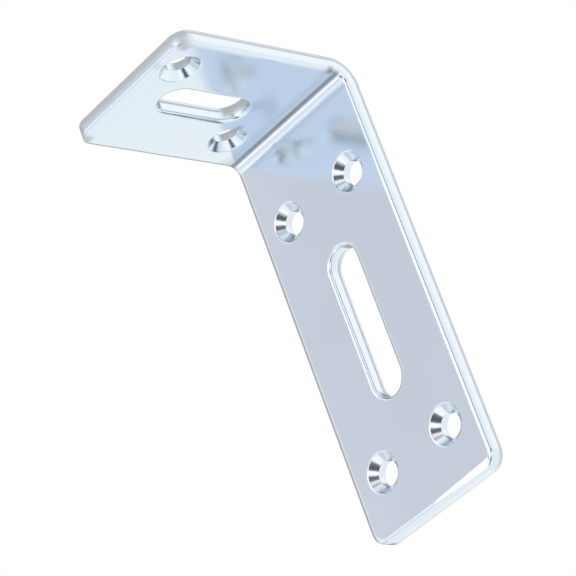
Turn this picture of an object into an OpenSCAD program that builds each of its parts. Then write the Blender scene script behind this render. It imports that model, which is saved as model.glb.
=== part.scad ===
// Angle bracket, pressed and folded from one piece of flat steel
// It is drawn as it is fixed: the long leg flat on an upright face, the short leg out from its top
// +Z is up the long leg, +Y goes into the face it is fixed to, +X is across the width
// The origin is the middle of the long leg's four screw holes, on its back face

/* [Strip] */
// Width of the strip
strip_w = 30; // [26:0.5:60]
// Thickness of the steel
sheet_t = 3; // [2:0.1:4]
// Height of the long leg, from its free end to the top of the short leg
long_leg = 80; // [72:1:160]
// Reach of the short leg, from its free end to the back of the long leg
short_leg = 40; // [36:1:100]
// Radius on the inside of the fold
fold_r = 2; // [1:0.1:3]

/* [Edges] */
// Radius of the four corners, seen face on
corner_r = 3; // [2:0.1:6]
// Radius that the die rolled along the outer edges, on the inner face
edge_roll = 1; // [0.3:0.1:1.5]
// Radius that tumbling left on the burr side, round the outer face
edge_break = 0.2; // [0.1:0.05:0.4]

/* [Screw holes] */
// Diameter of the screw holes
bore_d = 4.5; // [3:0.1:5.5]
// Diameter of the countersinks at the inner face
sink_d = 7.5; // [6.5:0.1:8.5]
// Angle of the countersinks, from side to side
sink_angle = 90; // [80:1:120]
// Distance between screw holes across the width, on both legs
pair_pitch = 16; // [16:0.5:18]
// Distance from the long leg's free end to its first pair of holes
pair_end = 11; // [6:0.5:12]
// Distance from one pair of holes to the other along the long leg
pair_rise = 50; // [46:1:54]
// Distance from the back of the long leg to the short leg's inner hole
inner_hole_back = 11; // [9.5:0.5:12]
// Distance from the short leg's free end to its outer hole
outer_hole_end = 5; // [5:0.5:8]

/* [Slots] */
// Width of both slots
slot_w = 6.8; // [5:0.1:8]
// Length of the long leg's slot, from end to end
long_slot = 29; // [12:0.5:36]
// Length of the short leg's slot, from end to end
short_slot = 19; // [10:0.5:22]
// Radius that the punch rolled round each slot, on the inner face
slot_roll = 0.7; // [0.2:0.1:0.8]

/* [Hidden] */
// Radius on the outside of the fold
fold_outer_r = fold_r + sheet_t;
// Length of the flat part of each leg, past the fold
long_flat = long_leg - fold_outer_r;
short_flat = short_leg - fold_outer_r;
// Distance from the long leg's free end to the middle of its hole pattern
pattern_end = pair_end + pair_rise / 2;
// Distance from the fold to the short leg's inner and outer hole
inner_hole_y = inner_hole_back - fold_outer_r;
outer_hole_y = short_flat - outer_hole_end;
// Height of the short leg's top face above the origin
top_z = long_leg - pattern_end;
// Height of the fold's centre line above the origin
fold_z = top_z - fold_outer_r;
// Depth of the countersinks' cone
sink_depth = (sink_d - bore_d) / 2 / tan(sink_angle / 2);
// How far each cut runs past the face that it opens
cut_over = 1;
// Colour of the bright zinc plating
zinc = [0.76, 0.80, 0.86];
$fn = 64;

// Half of the strip's section: x from the middle to the edge at reach, y from the inner face
// The punched edge is rolled over at the inner face and only broken at the outer face
module half_section(reach) {
    square([reach - edge_roll, sheet_t]);
    translate([0, edge_roll]) square([reach, sheet_t - edge_roll - edge_break]);
    translate([0, edge_roll]) square([reach - edge_break, sheet_t - edge_roll]);
    translate([reach - edge_roll, edge_roll]) circle(edge_roll);
    translate([reach - edge_break, sheet_t - edge_break]) circle(edge_break);
}

// The whole section, with the width along x
module strip_section() {
    half_section(strip_w / 2);
    mirror([1, 0]) half_section(strip_w / 2);
}

// Flat leg along +y from the fold, inner face at z = 0, with two rounded corners at its free end
module flat_leg(flat) {
    end_y = flat - corner_r;
    corner_x = strip_w / 2 - corner_r;
    translate([0, end_y, 0]) rotate([90, 0, 0]) linear_extrude(end_y) strip_section();
    translate([-corner_x, end_y, 0]) rotate([90, 0, 90])
        linear_extrude(2 * corner_x) half_section(corner_r);
    translate([corner_x, end_y, 0]) rotate_extrude(angle = 90) half_section(corner_r);
    translate([-corner_x, end_y, 0]) rotate(90)
        rotate_extrude(angle = 90) half_section(corner_r);
}

// The strip taken round the fold, from the long leg's flat to the short leg's
module fold() {
    rotate([90, 0, 90]) rotate_extrude(angle = 90)
        translate([fold_r, 0]) mirror([1, -1]) strip_section();
}

// Countersunk hole, sunk from the inner face at z = 0
module screw_hole() {
    mouth_d = sink_d + 2 * cut_over * tan(sink_angle / 2);
    translate([0, 0, -cut_over]) cylinder(h = sheet_t + 2 * cut_over, d = bore_d);
    translate([0, 0, -cut_over]) cylinder(h = sink_depth + cut_over, d1 = mouth_d, d2 = bore_d);
}

// Half of the slot's section: its wall at half the slot's width, flared at the inner face
module half_slot_section() {
    difference() {
        translate([0, -cut_over]) square([slot_w / 2 + slot_roll, cut_over + slot_roll]);
        translate([slot_w / 2 + slot_roll, slot_roll]) circle(slot_roll);
    }
    square([slot_w / 2, sheet_t + cut_over]);
}

// Slot along y with round ends, rolled in from the inner face
module slot(length) {
    run = length - slot_w;
    translate([0, run / 2, 0]) rotate([90, 0, 0]) linear_extrude(run) {
        half_slot_section();
        mirror([1, 0]) half_slot_section();
    }
    translate([0, run / 2, 0]) rotate_extrude(angle = 180) half_slot_section();
    translate([0, -run / 2, 0]) rotate(180) rotate_extrude(angle = 180) half_slot_section();
}

// Long leg: two pairs of screw holes, with the slot midway between them
module long_leg_flat() {
    slot_y = long_flat - pattern_end;
    difference() {
        flat_leg(long_flat);
        translate([0, slot_y, 0]) slot(long_slot);
        for (side = [-1, 1], row = [-1, 1])
            translate([side * pair_pitch / 2, slot_y + row * pair_rise / 2, 0]) screw_hole();
    }
}

// Short leg: two screw holes on a diagonal, with the slot midway between them
module short_leg_flat() {
    difference() {
        flat_leg(short_flat);
        translate([0, (inner_hole_y + outer_hole_y) / 2, 0]) slot(short_slot);
        translate([pair_pitch / 2, inner_hole_y, 0]) screw_hole();
        translate([-pair_pitch / 2, outer_hole_y, 0]) screw_hole();
    }
}

module angle_bracket() {
    color(zinc) translate([0, -fold_outer_r, fold_z]) {
        translate([0, fold_r, 0]) rotate([-90, 0, 0]) long_leg_flat();
        translate([0, 0, fold_r]) rotate(180) short_leg_flat();
        fold();
    }
}

angle_bracket();
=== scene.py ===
"""Angle bracket: one strip of steel, punched, countersunk, folded square and zinc plated."""
from math import cos, exp, pi, radians, sin, sqrt, tan

import bmesh
import bpy
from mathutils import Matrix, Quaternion, Vector
from mathutils.geometry import delaunay_2d_cdt


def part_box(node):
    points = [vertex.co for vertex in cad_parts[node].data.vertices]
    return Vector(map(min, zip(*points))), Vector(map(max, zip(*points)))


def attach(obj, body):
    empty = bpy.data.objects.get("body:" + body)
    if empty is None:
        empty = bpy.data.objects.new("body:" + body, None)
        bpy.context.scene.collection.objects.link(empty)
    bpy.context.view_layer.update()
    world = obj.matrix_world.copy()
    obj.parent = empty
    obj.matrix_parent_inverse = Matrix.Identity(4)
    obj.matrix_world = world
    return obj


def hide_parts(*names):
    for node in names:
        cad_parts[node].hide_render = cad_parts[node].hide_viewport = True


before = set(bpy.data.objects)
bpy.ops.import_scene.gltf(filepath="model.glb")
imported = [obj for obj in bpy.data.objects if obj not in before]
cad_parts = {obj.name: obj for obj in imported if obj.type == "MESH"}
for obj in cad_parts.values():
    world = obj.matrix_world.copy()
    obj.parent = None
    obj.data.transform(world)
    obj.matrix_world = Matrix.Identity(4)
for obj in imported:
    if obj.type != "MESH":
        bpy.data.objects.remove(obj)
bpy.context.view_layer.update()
scene = bpy.context.scene
scene.view_settings.view_transform = "Standard"

# The camera looks up into the inside of the bracket, from in front and below, with its head
# tipped so that the long leg runs down to the right. It stands half a metre away, and its lens
# is drawn in so that the one bracket fills the frame.
view_azimuth = radians(40.0)
view_elevation = radians(-25.7)
view_roll = radians(-20.3)
view_distance = 0.511
aim = Vector((-0.0024, -0.0161, 0.0066))
photo_lens = 86.8
closer = 2.2

back = Vector((
    sin(view_azimuth) * cos(view_elevation),
    -cos(view_azimuth) * cos(view_elevation),
    sin(view_elevation),
))
camera_data = bpy.data.cameras.new("camera")
camera_data.lens = photo_lens * closer
camera_data.clip_start = 0.01
camera = bpy.data.objects.new("camera", camera_data)
camera.location = aim + back * view_distance
camera.rotation_mode = "QUATERNION"
camera.rotation_quaternion = (
    (-back).to_track_quat("-Z", "Y") @ Quaternion((0, 0, 1), view_roll)
)
scene.collection.objects.link(camera)
scene.camera = camera

# The blank is cut from 3 mm sheet. The punch enters from what becomes the inside, so every cut
# edge is rolled over there and runs square through the sheet to a tumbled edge at the back.
# The edges that face -X rolled less, and by one corner the tool dragged a facet over the roll.
low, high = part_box("angle_bracket")
width = high.x - low.x
sheet = 0.003
corner_radius = 0.003
edge_roll = 0.001
shallow_roll = 0.25
edge_break = 0.0005
drag_slope = radians(12)
drag_spread = 0.0006
drag_limit = 0.003
wall_from = 0.0017
wall_to = 0.00245
inner_fold = 0.002
outer_fold = inner_fold + sheet
fold_run = pi / 2 * (inner_fold + sheet / 2)
fold_start = high.z - low.z - outer_fold
fold_end = fold_start + fold_run
blank_length = fold_end + high.y - low.y - outer_fold
foot_steps = 32
long_leg_steps = 24
fold_steps = 20
short_leg_steps = 10
end_steps = 12
corner_steps = 16
roll_steps = 14
drag_steps = 60
wall_steps = 5
break_steps = 6
tolerance = 1e-6


def smooth(value, start, stop):
    """0 at start and 1 at stop, level beyond them and eased between them."""
    share = min(max((value - start) / (stop - start), 0), 1)
    return share * share * (3 - 2 * share)


def span(start, stop, steps):
    return [start + (stop - start) * i / steps for i in range(steps + 1)]


def arc(across, along, radius, start, stop, steps):
    """Stations of an arc: (across, along, angle of the way out from its middle)."""
    return [
        (across + radius * cos(angle), along + radius * sin(angle), angle)
        for angle in span(start, stop, steps)
    ]


def blank_outline():
    """Stations round the blank, from the foot's right-hand corner up and round to the foot."""
    half = width / 2 - corner_radius
    top = blank_length - corner_radius
    stops = span(corner_radius, fold_start, long_leg_steps)[1:]
    stops += span(fold_start, fold_end, fold_steps)[1:]
    stops += span(fold_end, top, short_leg_steps)[1:-1]
    stations = arc(half, corner_radius, corner_radius, -pi / 2, 0, corner_steps)
    stations += [(width / 2, along, 0) for along in stops]
    stations += arc(half, top, corner_radius, 0, pi / 2, corner_steps)
    stations += [
        (across, blank_length, pi / 2) for across in span(half, -half, end_steps)[1:-1]
    ]
    stations += arc(-half, top, corner_radius, pi / 2, pi, corner_steps)
    stations += [(-width / 2, along, pi) for along in reversed(stops)]
    stations += arc(-half, corner_radius, corner_radius, pi, 3 * pi / 2, corner_steps)
    stations += [(across, 0, -pi / 2) for across in span(-half, half, foot_steps)[1:-1]]
    return stations


def drag_reach(across, along, angle):
    """How far the dragged facet reaches in from this station of the outline."""
    half = width / 2 - corner_radius
    if across > 0 and along < corner_radius + tolerance:
        for reach in span(0, drag_limit, drag_steps):
            inward = across - cos(angle) * reach
            if along - sin(angle) * reach > edge_roll + drag_spread * inward / half:
                return reach
    return 0


def broken_edge(radius):
    """Section of the tumbled edge at the outer face, in the form that cut_section gives."""
    return [
        (radius * (1 - cos(turn)), sheet - radius * (1 - sin(turn)), cos(turn), sin(turn))
        for turn in span(0, pi / 2, break_steps)
    ]


def cut_section(roll, angle, facet, break_radius, steps):
    """Section of a cut edge, from the inner face to the outer.

    Each entry is (inset, depth) and the way that the surface faces, as (out, deeper)."""
    drop = roll * (1 - (1 - shallow_roll) * smooth(-cos(angle), 0, 1))
    section = []
    for turn in span(0, pi / 2, steps):
        inset = max(roll, facet) * (1 - sin(turn))
        out = max(1 - inset / roll, 0)
        upright = sqrt(1 - out * out)
        depth = drop * (1 - upright)
        facing = Vector((drop * out, -roll * upright)).normalized()
        dragged = (facet - inset) * tan(drag_slope)
        if dragged > depth:
            depth = dragged
            facing = Vector((sin(drag_slope), -cos(drag_slope)))
        section.append((inset, depth, *facing))
    section += [(0, depth, 1, 0) for depth in span(wall_from, wall_to, wall_steps)]
    return section + broken_edge(break_radius)


outlines = [[
    (across, along, angle, cut_section(
        edge_roll, angle, drag_reach(across, along, angle), edge_break, roll_steps,
    ))
    for across, along, angle in blank_outline()
]]

# Four screw holes and a slot pierce the long leg, and two holes and a slot the short one. The
# holes are countersunk from the inside for flat-headed screws, and the slots' edges are rolled.
bore_radius = 0.00225
cone_to_bore = 0.0001
sink_radius = 0.0036
sink_slope = pi / 4
sink_lip = 0.0002
slot_half = 0.0034
slot_roll = 0.0007
hole_break = 0.0003
pair_half = 0.008
pair_end = 0.011
pair_rise = 0.050
long_slot = 0.029
short_slot = 0.019
inner_hole_back = 0.011
outer_hole_end = 0.005
inner_hole = fold_end + inner_hole_back - outer_fold
outer_hole = blank_length - outer_hole_end
lip_steps = 5
cone_steps = 6
hole_steps = 48
slot_end_steps = 24
slot_side_steps = 8
slot_roll_steps = 9


def sink_section():
    """Section of a countersunk hole: a rounded lip, the cone, the bore and its back edge."""
    depth = sink_radius - bore_radius
    lip_radius = sink_lip / tan(sink_slope / 2)
    slope = sin(sink_slope)
    section = [
        (depth + sink_lip - lip_radius * sin(angle), lip_radius * (1 - cos(angle)),
         sin(angle), -cos(angle))
        for angle in span(0, sink_slope, lip_steps)
    ]
    section += [
        (inset, depth - inset, slope, -slope)
        for inset in span(depth - slope * sink_lip, 0, cone_steps)[1:]
    ]
    section += [(0, depth + cone_to_bore, 1, 0)]
    return section + broken_edge(hole_break)


openings = []
for along, length in [
    (pair_end + pair_rise / 2, long_slot), ((inner_hole + outer_hole) / 2, short_slot),
]:
    run = length / 2 - slot_half
    stations = arc(0, along + run, slot_half, 0, pi, slot_end_steps)
    stations += [
        (-slot_half, along + on, pi) for on in span(run, -run, slot_side_steps)[1:-1]
    ]
    stations += arc(0, along - run, slot_half, pi, 2 * pi, slot_end_steps)
    stations += [
        (slot_half, along + on, 2 * pi) for on in span(-run, run, slot_side_steps)[1:-1]
    ]
    outlines.append([
        (x, y, angle + pi, cut_section(slot_roll, angle + pi, 0, hole_break, slot_roll_steps))
        for x, y, angle in stations
    ])
    openings.append((0, along, run, slot_half + slot_roll))
for across, along in [
    (-pair_half, pair_end), (pair_half, pair_end),
    (-pair_half, pair_end + pair_rise), (pair_half, pair_end + pair_rise),
    (-pair_half, inner_hole), (pair_half, outer_hole),
]:
    stations = arc(across, along, bore_radius, 0, 2 * pi, hole_steps)[:-1]
    outlines.append([(x, y, angle + pi, sink_section()) for x, y, angle in stations])
    openings.append((across, along, 0, sink_radius + sink_lip))

# The punch tore the short leg's end and left a burr line on the walls that face sideways. Shade
# is painted into the fold's crease, and a painted highlight runs across the middle of the bend.
# The openings' slopes get a painted highlight on their left sides, those in the long leg get
# painted shade at the bottom, and the dragged facet gets a painted highlight.
# Pairs are where a mark starts and where it is full. The fold's marks are placed along the
# strip from the fold's end, and an opening's by the angle round it from +X, in radians.
crease_start = (-0.0025, -0.0016)
crease_core = (-0.0001, -0.0009)
crease_edge = (0.0026, -0.0004)
# How dark the painted shade in the fold's crease is, in its core and at its edge
crease_core_shade = 0.57
crease_edge_shade = 0.32
# Where the painted highlight inside the bend lies, how wide it is and how strong
highlight_line = -0.0026
highlight_line_spread = 0.0005
highlight_line_strength = 0.8
face_depth = 0.0006
near_wall = 0.75
on_wall = 0.99
torn_turn = (0.27, 0.54)
torn_depth = (0.0004, 0.0023)
corner_tear = 0.5
burr_depth = 0.00225
burr_spread = 0.0002
burr_tear = 0.95
slant = (0.6, 0.8)
# Painted shade on the low sides of the long leg's countersinks
low_side = 4.2
low_spread = 0.27
low_side_shade = 0.75
# Painted highlight on the left sides of the openings' slopes
left_side = 2.6
left_spread = 0.8
left_side_highlight = 0.8
# Painted highlight on the dragged facet
facet_highlight = 0.85


def bell(value, middle, spread):
    """1 at the middle, falling off on both sides of it."""
    return exp(-((value - middle) / spread) ** 2)


def fold_marks(along, depth):
    """How much painted shade and painted highlight the fold puts on a point. Only the inner face
    gets them.
    """
    past = along - fold_end
    inside = smooth(depth, face_depth, 0)
    # Painted shade in the crease, and a painted highlight line across the middle of the bend
    crease_shade = crease_edge_shade * smooth(past, *crease_edge) + crease_core_shade * smooth(past, *crease_core)
    line = highlight_line_strength * bell(past, highlight_line, highlight_line_spread)
    return crease_shade * smooth(past, *crease_start) * inside, line * inside


def cut_marks(across, along, angle, depth, out):
    """How torn a cut edge is, and its painted shade and highlight, at a station, depth and
    facing.
    """
    torn = 0
    if along > fold_end and out > near_wall:
        torn = smooth(sin(angle), *torn_turn) * smooth(depth, *torn_depth)
    if out > on_wall:
        torn = max(torn, burr_tear * abs(cos(angle)) * bell(depth, burr_depth, burr_spread))
    if along > blank_length - corner_radius and abs(across) > width / 2 - corner_radius:
        torn = max(torn, corner_tear * sin(2 * angle) ** 2)
    painted_shade = 0
    painted_highlight = 0
    # The openings' slopes get a painted highlight on the left, and the long leg's painted shade
    # at the bottom
    if slant[0] < out < slant[1]:
        painted_highlight = left_side_highlight * bell(angle - pi, left_side, left_spread)
        if along < fold_start:
            painted_shade = low_side_shade * bell(angle - pi, low_side, low_spread)
    # The dragged facet gets a painted highlight
    if abs(out - sin(drag_slope)) < tolerance:
        painted_highlight = max(painted_highlight, facet_highlight)
    return torn, painted_shade, painted_highlight


# The fold is pressed over a 2 mm radius. Each point of the flat blank is taken round it, so the
# strip keeps its thickness and its rolled edges all the way through the bend.
points = []
facings = []
flat_places = []
# Per point: how torn it is, and how much painted shade and painted highlight it gets
marks = {"torn": [], "painted_shade": [], "painted_highlight": []}
faces = []


def add_point(place, facing, torn=0, painted_shade=0, painted_highlight=0):
    """Takes a point and its way out, both as (across, along, depth), round the fold.

    Its torn mark, painted shade and painted highlight are the stronger of those given and those
    of the fold."""
    across, along, depth = place
    turn = min(max((along - fold_start) / fold_run, 0), 1) * pi / 2
    reach = inner_fold + depth
    points.append(Vector((
        across,
        high.y - outer_fold + reach * cos(turn) - max(along - fold_end, 0),
        high.z - outer_fold + reach * sin(turn) + min(along - fold_start, 0),
    )))
    facings.append(Vector((
        facing.x,
        facing.z * cos(turn) - facing.y * sin(turn),
        facing.z * sin(turn) + facing.y * cos(turn),
    )).normalized())
    flat_places.append(Vector((across, along)))
    crease_shade, line = fold_marks(along, depth)
    marks["torn"].append(torn)
    marks["painted_shade"].append(max(crease_shade, painted_shade))
    marks["painted_highlight"].append(max(line, painted_highlight))
    return len(points) - 1


def add_cut_edge(outline):
    """Walls round one outline, from the inner face to the outer, and its two end loops."""
    places = [
        [
            Vector((across - cos(angle) * inset, along - sin(angle) * inset, depth))
            for inset, depth, out, deeper in section
        ]
        for across, along, angle, section in outline
    ]
    rows = []
    for i, (across, along, angle, section) in enumerate(outline):
        row = []
        for j, (inset, depth, out, deeper) in enumerate(section):
            around = places[(i + 1) % len(places)][j] - places[i - 1][j]
            down = Vector((-cos(angle) * deeper, -sin(angle) * deeper, out))
            facing = around.cross(down)
            if facing.dot(Vector((cos(angle) * out, sin(angle) * out, deeper))) < 0:
                facing = -facing
            edge_marks = cut_marks(across, along, angle, depth, out)
            row.append(add_point(places[i][j], facing, *edge_marks))
        rows.append(row)
    for row, after in zip(rows, rows[1:] + rows[:1]):
        for i in range(len(row) - 1):
            faces.append((row[i], after[i], after[i + 1], row[i + 1]))
    return [row[0] for row in rows], [row[-1] for row in rows]


loops = [add_cut_edge(outline) for outline in outlines]
grid = 0.0025
grid_clearance = 0.4 * grid
fold_columns = 10
within_rims = 1
join_within = 1e-7


def in_the_clear(spot):
    """Whether a spot on a flat face keeps off every opening's rim."""
    for across, along, run, reach in openings:
        near = Vector((across, min(max(spot.y, along - run), along + run)))
        if (spot - near).length < reach + grid_clearance:
            return False
    return True


def fill_flat(rims, first, last, depth, out, seam):
    """Fills one flat face between its rims and a row of points along the fold.

    A triangle with all its corners on one opening's rim would close it, so it is left out."""
    rim_of = {k: n for n, rim in enumerate(rims[1:]) for k in rim}
    edges = list(zip(seam, seam[1:]))
    for rim in rims:
        edges += [
            (i, j) for i, j in zip(rim, rim[1:] + rim[:1])
            if all(first - tolerance <= flat_places[k].y <= last + tolerance for k in (i, j))
        ]
    used = sorted({k for edge in edges for k in edge})
    rows = round((last - first) / grid)
    columns = round(width / grid)
    for i in range(1, columns):
        for j in range(1, rows):
            spot = Vector((low.x + width * i / columns, first + (last - first) * j / rows))
            if in_the_clear(spot):
                used.append(add_point((*spot, depth), out))
    order = {k: n for n, k in enumerate(used)}
    found = delaunay_2d_cdt(
        [flat_places[k] for k in used], [(order[i], order[j]) for i, j in edges], [],
        within_rims, join_within,
    )
    for triangle in found[2]:
        corners = [used[found[3][c][0]] for c in triangle]
        around = {rim_of.get(k) for k in corners}
        if len(around) > 1 or None in around:
            faces.append(corners)


for side, depth in [(0, 0), (1, sheet)]:
    out = Vector((0, 0, 2 * side - 1))
    rims = [loop[side] for loop in loops]
    rows = []
    for along in span(fold_start, fold_end, fold_steps):
        ends = [k for k in rims[0] if abs(flat_places[k].y - along) < tolerance]
        left, right = sorted(ends, key=lambda k: flat_places[k].x)
        between = [
            add_point((across, along, depth), out)
            for across in span(flat_places[left].x, flat_places[right].x, fold_columns)[1:-1]
        ]
        rows.append([left, *between, right])
    for row, after in zip(rows, rows[1:]):
        for i in range(len(row) - 1):
            faces.append((row[i], row[i + 1], after[i + 1], after[i]))
    fill_flat(rims, 0, fold_start, depth, out, rows[0])
    fill_flat(rims, fold_end, blank_length, depth, out, rows[-1])

mesh = bpy.data.meshes.new("bracket")
mesh.from_pydata(points, [], faces)
shape = bmesh.new()
shape.from_mesh(mesh)
bmesh.ops.recalc_face_normals(shape, faces=shape.faces)
shape.to_mesh(mesh)
shape.free()
for polygon in mesh.polygons:
    polygon.use_smooth = True
mesh.normals_split_custom_set_from_vertices(facings)
for name, values in marks.items():
    mesh.attributes.new(name, "FLOAT", "POINT").data.foreach_set("value", values)
bracket = bpy.data.objects.new("bracket", mesh)
scene.collection.objects.link(bracket)
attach(bracket, "root")
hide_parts("angle_bracket")

# Bright zinc with a blue cast is plated on after the pressing. It is a little cloudy and finely
# grained. Its colour is paler where a highlight is painted, and greyer where shade and dark
# reflections are painted. Torn metal is rough.
clear_zinc = (0.76, 0.86, 0.93, 1)
cloudy_zinc = (0.78, 0.85, 0.93, 1)
# Colours of the painted highlight and the painted shade
painted_highlight_colour = (0.97, 0.98, 0.99, 1)
painted_shade_colour = (0.21, 0.26, 0.31, 1)
torn_steel = (0.57, 0.58, 0.62, 1)
cloud_scale = 60.0
cloud_edge = (0.4, 0.65)
grain_scale = 2600.0
zinc_roughness = 0.13
cloud_roughness = 0.06
torn_roughness = 0.45
# Each patch of painted dark reflection: its middle, how far it reaches and how dark it is in the
# middle
painted_dark_patches = [
    ((0.0097, -0.0225, 0.041), 0.0044, 0.32),
    ((-0.0030, -0.0030, 0.0362), 0.0036, 0.28),
    ((0.0022, -0.0130, 0.041), 0.0030, 0.28),
    ((-0.0042, -0.0115, 0.041), 0.0015, 0.50),
    ((0.0108, -0.0342, 0.041), 0.0016, 0.70),
    ((0.0075, -0.0396, 0.041), 0.0015, 0.20),
    ((0.0148, -0.0057, 0.041), 0.0014, 0.80),
]


class Wire:
    """A shader socket. An expression on wires and numbers adds its Math nodes to the tree."""

    def __init__(self, socket):
        self.socket = socket

    def node(self, kind, settings=None, inputs=None, out=0):
        """Adds a node to the wire's tree: its settings first, then its sockets."""
        tree = self.socket.id_data
        made = tree.nodes.new(kind)
        for name, value in (settings or {}).items():
            setattr(made, name, value)
        for name, value in (inputs or {}).items():
            if isinstance(value, Wire):
                tree.links.new(value.socket, made.inputs[name])
            else:
                made.inputs[name].default_value = value
        return Wire(made.outputs[out])

    def feed(self, value):
        self.socket.id_data.links.new(value.socket, self.socket)

    def math(self, operation, *values):
        return self.node("ShaderNodeMath", {"operation": operation}, dict(enumerate(values)))

    def __add__(self, other):
        return self.math("ADD", self, other)

    def __sub__(self, other):
        return self.math("SUBTRACT", self, other)

    def __rsub__(self, other):
        return self.math("SUBTRACT", other, self)

    def __mul__(self, other):
        return self.math("MULTIPLY", self, other)

    __radd__ = __add__
    __rmul__ = __mul__

    def smooth(self, start, stop):
        """0 up to start and 1 from stop on, eased between them."""
        return self.node(
            "ShaderNodeMapRange", {"interpolation_type": "SMOOTHSTEP"},
            {"Value": self, "From Min": start, "From Max": stop},
        )

    def mix(self, first, second, blend="MIX"):
        """The first colour where this wire is 0, blended with the second where it is 1.

        A Mix node has its colours at sockets 6 and 7, and their blend at output 2."""
        return self.node(
            "ShaderNodeMix", {"data_type": "RGBA", "blend_type": blend},
            {0: self, 6: first, 7: second}, out=2,
        )

    def noise(self, scale):
        return self.node(
            "ShaderNodeTexNoise", None, {"Vector": self, "Scale": scale, "Detail": 3.0},
        )


zinc = bpy.data.materials.new("zinc_plated_steel")
zinc.use_nodes = True
shader = zinc.node_tree.nodes["Principled BSDF"]
place = Wire(shader.inputs["Normal"]).node("ShaderNodeTexCoord", out="Object")
torn, painted_shade, painted_highlight = [
    place.node("ShaderNodeAttribute", {"attribute_name": name}, out="Fac") for name in marks
]
# The patches of painted dark reflection add to the painted shade
for spot, reach, strength in painted_dark_patches:
    apart = place.node(
        "ShaderNodeVectorMath", {"operation": "DISTANCE"}, {0: place, 1: spot}, out="Value",
    )
    painted_shade = painted_shade + strength * (1 - apart.smooth(0, reach))
cloud = place.noise(cloud_scale)
tint = cloud.smooth(*cloud_edge).mix(clear_zinc, cloudy_zinc)
# Painted highlight and painted shade are mixed into the zinc's colour
tint = painted_shade.mix(painted_highlight.mix(tint, painted_highlight_colour), painted_shade_colour)
Wire(shader.inputs["Base Color"]).feed(torn.mix(tint, torn_steel))
Wire(shader.inputs["Metallic"]).feed(1 - torn)
Wire(shader.inputs["Roughness"]).feed(
    zinc_roughness + cloud_roughness * cloud + torn_roughness * torn
)
Wire(shader.inputs["Normal"]).feed(place.node("ShaderNodeBump", None, {
    "Strength": 0.08, "Distance": 0.0001, "Height": place.noise(grain_scale),
}))
mesh.materials.append(zinc)

# The studio is a white tent. Bright panels, grey cards and a few dark gaps in it give the zinc
# something to mirror, and the camera itself sees plain white.
white = (1, 1, 1, 1)
# Each card: the way to its middle, the degrees from there to which it is full and by which it
# is gone, and its colour
cards = [
    ((-0.05, -0.97, 0.20), 27, 37, (1.35, 1.35, 1.35)),
    ((-0.46, -0.79, 0.40), 4, 17, (0.63, 0.60, 0.655)),
    ((-0.575, -0.66, -0.485), 9, 16, (0.88, 0.88, 0.97)),
    ((-0.58, -0.37, -0.725), 5, 12, (1.08, 1.08, 1.08)),
    ((-0.24, -0.56, -0.80), 6, 14, (1.15, 1.15, 1.15)),
    ((-0.60, 0.72, -0.30), 4, 12, (1.15, 1.12, 1.06)),
    ((0.36, -0.25, -0.90), 6, 14, (1.15, 1.15, 1.15)),
    ((0.62, -0.73, -0.28), 5, 12, (1.15, 1.15, 1.15)),
    ((0.58, 0.69, 0.43), 10, 20, (1.11, 1.09, 1.07)),
    ((0.37, -0.70, -0.61), 10, 17, (0.09, 0.10, 0.12)),
    ((0.13, -0.54, -0.83), 6, 13, (0.09, 0.10, 0.12)),
    ((0.745, -0.65, 0.12), 8, 16, (0.10, 0.11, 0.13)),
    ((0.56, -0.47, 0.68), 4, 11, (0.50, 0.50, 0.52)),
    ((0.56, -0.71, 0.43), 4, 11, (0.30, 0.31, 0.34)),
    ((0.69, -0.54, -0.48), 4, 10, (0.60, 0.65, 0.75)),
    ((-0.25, 0.08, 0.95), 12, 32, (0.40, 0.47, 0.50)),
    ((-0.30, -0.95, 0.02), 6, 15, (0.30, 0.36, 0.40)),
    ((-0.56, -0.15, 0.81), 10, 20, (0.45, 0.47, 0.50)),
    ((-0.83, -0.25, -0.50), 8, 18, (0.72, 0.74, 0.80)),
    ((-0.95, 0.25, 0.03), 16, 28, (0.30, 0.36, 0.42)),
    ((-0.90, -0.05, 0.43), 24, 36, (0.50, 0.45, 0.42)),
    ((-0.72, 0.69, 0.10), 15, 30, (0.45, 0.47, 0.50)),
    ((-0.30, 0.82, 0.45), 20, 40, (0.35, 0.36, 0.38)),
]
world = bpy.data.worlds.new("tent")
world.use_nodes = True
scene.world = world
tent = world.node_tree.nodes["Background"]
way = Wire(tent.inputs["Color"]).node("ShaderNodeTexCoord", out="Generated")
light = white
for middle, full, gone, colour in cards:
    toward = way.node(
        "ShaderNodeVectorMath", {"operation": "DOT_PRODUCT"},
        {0: way, 1: Vector(middle).normalized()}, out="Value",
    )
    on_card = toward.smooth(cos(radians(gone)), cos(radians(full)))
    light = on_card.mix(light, (*colour, 1), "MULTIPLY")
seen = way.node("ShaderNodeLightPath", out="Is Camera Ray")
Wire(tent.inputs["Color"]).feed(seen.mix(light, white))

# A plain pale floor lies far below the bracket. The metal mirrors the tent, not the floor.
floor_size = 8
floor_drop = 0.6
bpy.ops.mesh.primitive_plane_add(size=floor_size, location=(0, 0, -floor_drop))
floor = bpy.context.object
floor.name = "floor"
floor.visible_glossy = False
paint = bpy.data.materials.new("floor_paint")
paint.use_nodes = True
matt = paint.node_tree.nodes["Principled BSDF"]
matt.inputs["Base Color"].default_value = (0.9, 0.9, 0.9, 1)
matt.inputs["Roughness"].default_value = 0.8
floor.data.materials.append(paint)
